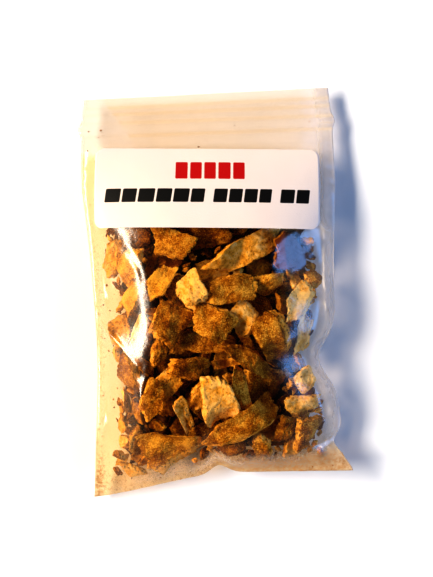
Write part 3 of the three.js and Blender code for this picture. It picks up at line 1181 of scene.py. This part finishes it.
def make_crumbs(rng, count=330):
    """Crumbs and dust: small rough grains between the films, mostly in the left margin and by the seam.

    A crumb is a ball of a few rings, flattened, with each point's radius drawn at random.
    """
    turns, rows, flatness = 7, 4, 0.6
    angle = np.linspace(0, 2 * np.pi, turns, endpoint=False)[None, None, :]
    rise = np.linspace(0.2, 0.8, rows)[None, :, None] * np.pi
    size = 0.08 + 0.30 * rng.random(count) ** 6
    radius = size[:, None, None] * (1 + 0.3 * rng.normal(size=(count, rows, turns)).clip(-1.5, 1.5))
    x = radius * np.sin(rise) * np.cos(angle)
    y = radius * np.sin(rise) * np.sin(angle) * rng.uniform(0.5, 1, (count, 1, 1))
    z = radius * np.cos(rise) * flatness
    body = np.stack([x, y, z], -1).reshape(count, -1, 3)
    ends = np.zeros((count, 1, 3))
    ends[:, 0, 2] = flatness * size
    body = np.concatenate([ends, body, -ends], 1)

    # Half of the crumbs are in the left margin, a twentieth at the zip, and the others along the bottom seam.
    share = rng.random(count)
    across = np.where(share < 0.5, rng.uniform(-0.955, -0.8, count), rng.uniform(-0.9, 0.9, count))
    along = np.where(share < 0.5, rng.uniform(4, 112, count), rng.uniform(1.2, 6, count))
    along = np.where(share > 0.95, rng.uniform(100, 118, count), along)
    across = np.where((share > 0.55) & (share < 0.85), rng.uniform(0.05, 0.93, count), across)
    at_x, at_y = plan(across, along)
    low = back_height(across, along) + size
    high = front_height(across, along) - 0.35 - size
    at_z = np.maximum(low, np.minimum(high, low + rng.random(count) ** 3 * np.maximum(high - low, 0)))
    body += np.stack([at_x, at_y, at_z], -1)[:, None, :]

    each = (count, body.shape[1])
    marks = {"zest": np.full(each, 0.8), "edge": np.zeros(each), "relief": np.full(each, 0.2)}
    marks["tone"] = np.tile(0.5 * rng.random((count, 1)), body.shape[1])
    faces = piece_faces(count, rows, turns)
    points = in_frame(body.reshape(-1, 3))
    new_piece("peel_crumbs", points, faces, peel_finish("peel_crumbs"), "dried_peel", marks)


# ----------------------------------------------------------------------------------------------------
# The film.

FILM_ACROSS = 176
FILM_ROWS = np.concatenate([np.linspace(0, 104.5, 206), np.linspace(104.8, BAG_LENGTH, 68)])

# Folds that the film is drawn up into: (x, y, height above the plain front), in plan millimetres.
PROUD_FOLDS = [
    # from the label's lower left corner down the left shoulder
    [(-30.5, 79.8, 0.2), (-25.6, 74.4, 0.6), (-20.5, 67.8, 0.6), (-19.6, 61.2, 0.5), (-18.3, 54.7, 0.3),
     (-17.6, 46.0, 0.3), (-20.9, 38.6, 0.7), (-21.3, 32.5, 0.8), (-22.0, 26.0, 0.5), (-24.0, 17.0, 0.3),
     (-27.0, 10.0, 0.2)],
    # its second arm, from the left weld
    [(-34.0, 52.6, 0.3), (-31.2, 50.2, 0.8), (-27.6, 46.6, 1.0), (-23.8, 41.8, 0.9), (-20.9, 38.6, 0.7)],
    # two short tucks beside the left weld
    [(-33.4, 55.5, 0.3), (-31.4, 60.5, 1.0), (-31.0, 66.0, 1.0), (-31.4, 71.5, 0.3)],
    [(-34.6, 20.3, 0.2), (-33.2, 26.4, 1.0), (-31.4, 34.8, 0.3)],
    # a long tuck down the right side
    [(34.6, 94.8, 0.1), (33.4, 86.0, 0.5), (32.4, 78.7, 0.9), (32.4, 71.3, 0.9), (31.8, 61.0, 0.8),
     (30.4, 50.7, 0.8), (28.2, 43.4, 0.6), (28.9, 35.5, 0.8), (30.6, 27.8, 0.8), (32.0, 18.9, 0.6)],
    # round the hollow by the label's lower right corner
    [(26.0, 77.6, 0.1), (21.6, 74.0, 0.5), (17.8, 70.0, 0.6), (18.2, 65.0, 0.3), (22.0, 59.8, 0.2)],
    [(27.2, 76.0, 0.3), (27.6, 72.2, 0.6), (29.6, 69.2, 0.7), (32.2, 70.1, 0.8)],
    # the fold in the middle of the bottom seam
    [(-8.9, 5.6, 0.5), (-5.2, 9.7, 0.9), (-2.0, 12.7, 0.9), (3.2, 11.4, 0.7), (10.6, 8.2, 0.4)],
]

# Flat stretches of film: x and y of the middle, half width, half length, turn in degrees, how far it is
# raised, and its slopes along x and along y.
FLATS = [
    (24.0, 70.6, 8.6, 8.6, -38, -0.8, -0.57, 0.11),  # the hollow by the label's lower right corner
    (-21.3, 33.5, 1.3, 5.5, -4, 0.2, 0.41, -0.10),  # the foot of the left shoulder's fold
    (-27.4, 46.4, 0.9, 8.0, 43, 0.8, 0.41, -0.12),  # its second arm
    (-32.0, 64.5, 0.9, 6.5, 5, 0.8, 0.41, -0.12),  # the tucks beside the left weld
    (-33.2, 24.5, 0.9, 6.0, -10, 0.8, 0.41, -0.10),
]

# How widely the left shoulder's fold is rounded, from the label down: (x, y, half width).
ROUNDED = [
    (-30.5, 79.8, 1.0), (-25.6, 74.4, 1.2), (-20.5, 67.8, 0.9), (-19.6, 61.2, 2.2), (-18.3, 54.7, 3.2),
    (-17.6, 46.0, 2.4), (-20.9, 38.6, 2.2), (-21.3, 32.5, 1.2), (-22.0, 26.0, 0.8),
]


def fold_height(line, x, y, base):
    """The height that a fold holds the film up to: its own line's, within about half a millimetre of it."""
    away, proud = nearest_on(line, x, y)
    return np.where(away < 0.55, base + proud, -FAR)


class FrontFilm:
    """The front film on its own grid of pattern coordinates."""

    def __init__(self):
        spread = np.linspace(-1, 1, FILM_ACROSS + 1)
        self.across, self.along = np.meshgrid(spread, FILM_ROWS)
        self.x, self.y = plan(self.across, self.along)
        self.plain = front_height(self.across, self.along)
        self.folds = np.full(self.plain.shape, -FAR)
        for line in PROUD_FOLDS:
            self.folds = np.maximum(self.folds, fold_height(line, self.x, self.y, self.plain))
        side, up = label_place(self.x, self.y)
        self.label = (np.abs(side) < LABEL_WIDTH / 2 + 0.2) & (np.abs(up) < LABEL_HEIGHT / 2 + 0.2)
        welded = (np.abs(self.across) > 0.955) | (self.along < 1.6) | (self.along > 106)
        self.fixed = welded | self.label
        # The contents fill the film out, but for its left flank and its two lower corners, where it is taut.
        left_start = -0.50 - 0.24 * ramp(30, 14, self.along)
        flank = ramp(0, 0.16, left_start - self.across) + ramp(0.84, 0.92, self.across)
        full = self.plain - 30 * flank - 30 * ramp(6, 4, self.along)
        settled = self.settled(np.maximum(full, self.folds), self.plain)
        self.flat_heights = [
            self.sample(settled, *pattern_at(np.array(x), np.array(y))) + raised
            for x, y, _, _, _, raised, _, _ in FLATS
        ]
        self.taut = self.flattened(settled)

    def flattened(self, height):
        """The film with its rounded fold and its flat stretches, where it is a plane with faint crinkles.

        Each flat stretch fades out over an ellipse, as a steep bell.
        """
        away, wide = nearest_on(ROUNDED, self.x, self.y)
        share = hump(away, 0, wide * 1.3) * ~self.fixed
        height = height + share * (smoothed(height, 45) - height)
        for (x, y, wide, long, turn, _, slope_x, slope_y), level in zip(FLATS, self.flat_heights):
            dx, dy = self.x - x, self.y - y
            turn = math.radians(turn)
            side = dx * math.cos(turn) + dy * math.sin(turn)
            up = dy * math.cos(turn) - dx * math.sin(turn)
            share = np.exp(-(((side / wide) ** 2 + (up / long) ** 2) ** 1.5)) * ~self.fixed
            waves = np.sin(1.7 * side + 0.6 * up) * np.sin(1.1 * up - 0.5 * side + 0.7)
            crinkles = 0.07 * min(1, wide / 8) * waves
            height = height + share * (level + slope_x * dx + slope_y * dy + crinkles - height)
        return height

    def settled(self, held, start):
        """The film as taut as it can be over what holds it up.

        Each point settles at the mean of its neighbours, or at whatever holds it up if that is higher. The
        welds, the zip and the label hold it where they are. Solved by over-relaxed steps on alternate points.
        """
        rounds, over = 220, 1.75
        height = np.where(self.label, label_height(self.x, self.y), start)
        rows, columns = np.indices(height.shape)
        for _ in range(rounds):
            for parity in (0, 1):
                moved = np.maximum(held, height + over * (sum(neighbours(height)) / 4 - height))
                height = np.where(((rows + columns) % 2 == parity) & ~self.fixed, moved, height)
        return np.where(self.label, height, smoothed(height, 4))

    def sample(self, heights, across, along):
        """Heights on the film's grid, read between its points."""
        column = (np.clip(across, -1, 1) + 1) / 2 * FILM_ACROSS
        row = np.interp(along, FILM_ROWS, np.arange(len(FILM_ROWS)))
        left = np.minimum(column.astype(int), FILM_ACROSS - 1)
        low = np.minimum(row.astype(int), len(FILM_ROWS) - 2)
        u, v = column - left, row - low
        lower = heights[low, left] * (1 - u) + heights[low, left + 1] * u
        upper = heights[low + 1, left] * (1 - u) + heights[low + 1, left + 1] * u
        return lower * (1 - v) + upper * v

    def drape(self, heap, tops):
        """The film settled over the tops of the peel, never far from its taut shape."""
        above, under = 0.1, 0.35
        peel_top = highest_within(tops, 1)[heap.cell(self.x, self.y)] + CONTACT
        held = np.maximum(np.minimum(peel_top, self.taut + above), self.taut - under)
        return self.flattened(self.settled(np.maximum(held, self.folds), self.taut))


def wrinkles(across, along):
    """Fine creases that run in from the side welds and up from the seam, and die out over the contents.

    Each set is a sine whose own phase sways, and the header has a slow wave.
    """
    sides = ramp(0.72, 0.93, np.abs(across)) * ramp(107, 100, along)
    fan = np.sin(along / 1.15 + 3 * np.sin(along / 5.0) + 9 * np.abs(across))
    fan = fan * (0.5 + 0.5 * np.sin(along / 7.3 + 1.0))
    seam = np.sin(across * 24 + 2 * np.sin(across * 9)) * (0.6 + 0.4 * np.sin(across * 5))
    head = np.sin(across * 7 + along / 9)
    return 0.11 * sides * fan + 0.16 * ramp(12, 3, along) * seam + 0.16 * ramp(104, 108, along) * head


def film_marks(across, along, x, y):
    """How milky and how dusty the film is, and its painted warmth, as sums of smooth steps in from its edges.
    """
    head = ramp(100, 105, along)
    # The ribs' edges are painted as darker, milkier lines: painted shade. Left of a slanting line across the
    # lip's left end the film is painted paler, as painted light, and these lines only faintly.
    crease = -23.6 - 0.69 * np.maximum(y - 108.7, 0) + 0.38 * np.maximum(108.7 - y, 0)
    right_of_lit_corner = ramp(-0.3, 0.4, x - crease)
    lines = sum(hump(along, middle, 0.6) for middle in (117.6, 115.4, 112.6, 108.6))
    lines = np.clip(lines, 0, 1) * (0.25 + 0.75 * right_of_lit_corner)

    # Milky: the two sides, the head and its painted rib-shade lines, the seam, the welds and the right end of
    # the header.
    haze = 0.06 * ramp(0.82, 0.95, -across) + 0.06 * ramp(0.48, 0.70, -across)
    haze += 0.22 * ramp(0.84, 0.95, across) + 0.09 * ramp(0.45, 0.85, across)
    haze += 0.06 * head + 0.10 * head * lines
    haze += 0.16 * ramp(5, 1, along) + 0.2 * hump(np.abs(across), 1.0, 0.02)
    haze += 0.22 * ramp(-0.12, -0.02, across) * ramp(7.5, 5.5, along)
    haze += 0.35 * ramp(0.86, 0.93, across) * ramp(76, 84, along)

    # Painted warmth: warm light painted on the left, fading to painted shade on the right over the contents,
    # less in the head, and all of the bottom seam.
    # The head's painted warmth: warmer to the left where the light falls, and more on the painted rib lines
    # and right of the lit corner.
    head_painted_warmth = 0.15 - 0.10 * across + 0.26 * lines + 0.10 * right_of_lit_corner
    amber = (0.78 - 0.6 * across) * (1 - head) + head_painted_warmth * head + 0.7 * ramp(14, 5, along)

    # Dusty: the bottom seam, most of all its right half, and the left weld.
    dust = 0.34 * ramp(10, 3, along) * ramp(-0.45, 0.35, across) + 0.22 * ramp(14, 4, along)
    dust += 0.24 * ramp(0.89, 0.95, -across) * ramp(100, 70, along)
    return {"haze": haze, "amber": np.clip(amber, 0, 1), "dust": dust}


def make_film(cover, heap, tops):
    """The whole bag as one closed slab: the draped front, and the back lying on the table."""
    across, along, x, y = cover.across, cover.along, cover.x, cover.y
    crushed = 1 - 0.6 * hump(np.abs(across), 1.0, 0.02)
    ripple = wrinkles(across, along)
    open_lip = ramp(113, BAG_LENGTH, along) * (1 - ramp(0.85, 1.0, np.abs(across)))
    front = cover.drape(heap, tops) + ribs(along) * crushed + ripple + 0.3 * open_lip
    back = back_height(across, along)
    off_table = ramp(0.5, 3.0, back)
    back = back + (ripple - 0.45 * ribs(along)) * off_table - 0.25 * open_lip
    upper = np.stack([x, y, np.maximum(front, back + LEAST_FILM)], -1)
    lower = np.stack([x, y, back], -1)
    marks = {name: np.stack([mark, mark]) for name, mark in film_marks(across, along, x, y).items()}
    film = slab_piece("bag_film", in_frame(upper), in_frame(lower), film_finish(), "film", marks)
    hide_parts("bag")


def make_label():
    """A thin sheet of paper bent over the bag's shoulder, with round corners.

    Its rows run up it, and within the corners' quarter circles they are shorter.
    """
    columns, straight_rows, corner_rows = 120, 26, 7
    turn = np.linspace(0, np.pi / 2, corner_rows, endpoint=False)
    straight = LABEL_HEIGHT / 2 - LABEL_CORNER
    rounded = straight + LABEL_CORNER * np.cos(turn)
    up = np.concatenate([-rounded, np.linspace(-straight, straight, straight_rows), rounded[::-1]])
    inset_corner = LABEL_CORNER * (1 - np.sin(turn))
    inset = np.concatenate([inset_corner, np.zeros(straight_rows), inset_corner[::-1]])
    side = np.linspace(-1, 1, columns)[None, :] * (LABEL_WIDTH / 2 - inset)[:, None]
    up = np.broadcast_to(up[:, None], side.shape)
    x = LABEL_ACROSS + side * math.cos(LABEL_TURN) - up * math.sin(LABEL_TURN)
    y = LABEL_ALONG + side * math.sin(LABEL_TURN) + up * math.cos(LABEL_TURN)
    under = label_height(x, y) + PAPER_GAP
    upper = in_frame(np.stack([x, y, under + PAPER], -1))
    lower = in_frame(np.stack([x, y, under], -1))
    printed = np.stack([side, up], -1).reshape(-1, 2)
    unprinted = printed + (0, 100)  # the underside's place on the flat plane, well away from the print
    flat = np.concatenate([printed, unprinted])
    label = slab_piece("paper_label", upper, lower, label_finish(), "label_paper", flat_uv=flat)
    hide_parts("label")


# ----------------------------------------------------------------------------------------------------
# The table, the light and the camera.


def make_floor():
    """A flat table top."""
    size = 3.0
    points = np.array([(-size, -size, 0), (size, -size, 0), (size, size, 0), (-size, size, 0)])
    floor = new_piece("table_top", points, [np.array([[0, 1, 2, 3]])], floor_finish())


def soft_box(name, place, size, colour, power, aim=(0, 0, 0.01)):
    """A rectangular lamp that faces the object."""
    lamp = bpy.data.lights.new(name, "AREA")
    lamp.shape = "RECTANGLE"
    lamp.size, lamp.size_y = size
    lamp.color = colour
    lamp.energy = power
    holder = bpy.data.objects.new(name, lamp)
    bpy.context.scene.collection.objects.link(holder)
    holder.location = place
    away = Vector(place) - Vector(aim)
    holder.rotation_mode = "QUATERNION"
    holder.rotation_quaternion = away.to_track_quat("Z", "Y")


def make_light():
    """A warm key from the upper left, a cool window on the right, and a room pale all round and dim above."""
    soft_box("key", (-0.95, 0.20, 0.80), (0.80, 0.30), (1.0, 0.87, 0.71), 22.5)
    soft_box("window", (0.90, -0.12, 0.42), (0.46, 0.46), (0.20, 0.46, 1.0), 5.2)
    room = Finish(bpy.data.worlds.new("room"))
    heading = room.node("ShaderNodeTexCoord", output="Generated")
    up = room.node("ShaderNodeSeparateXYZ", None, [heading], output="Z")
    walls_to_ceiling = [(0.12, (0.60, 0.55, 0.46)), (0.6, (0.03, 0.027, 0.024))]
    light = room.node("ShaderNodeBackground", None, [room.shades(up, walls_to_ceiling)])
    bpy.context.scene.world = room.finished(light, "ShaderNodeOutputWorld")


def make_camera():
    """Straight above the bag, turned a little so that the bag leans to the left."""
    distance = 0.26
    tall = 0.1777  # metres of the table from the top to the bottom of the view, at the camera's distance
    lens_data = bpy.data.cameras.new("camera")
    lens_data.sensor_width = 36
    lens_data.lens = lens_data.sensor_width * distance / tall
    camera = bpy.data.objects.new("camera", lens_data)
    bpy.context.scene.collection.objects.link(camera)
    camera.location = (0.0008, 0.0012, distance)
    camera.rotation_euler = (0, 0, math.radians(-2.04))
    bpy.context.scene.camera = camera


def set_view():
    """Plain colours with a little more contrast, and light enough through many layers of film."""
    scene = bpy.context.scene
    scene.view_settings.view_transform = "Standard"
    scene.view_settings.look = "High Contrast"
    scene.cycles.transparent_max_bounces = 24


make_camera()
make_light()
make_floor()
set_view()
cover = FrontFilm()
heap, batches = heaped_peel(cover)
make_peel(batches)
make_core(heap)
make_crumbs(np.random.default_rng(3))
make_film(cover, heap, peel_tops(batches, heap))
make_label()
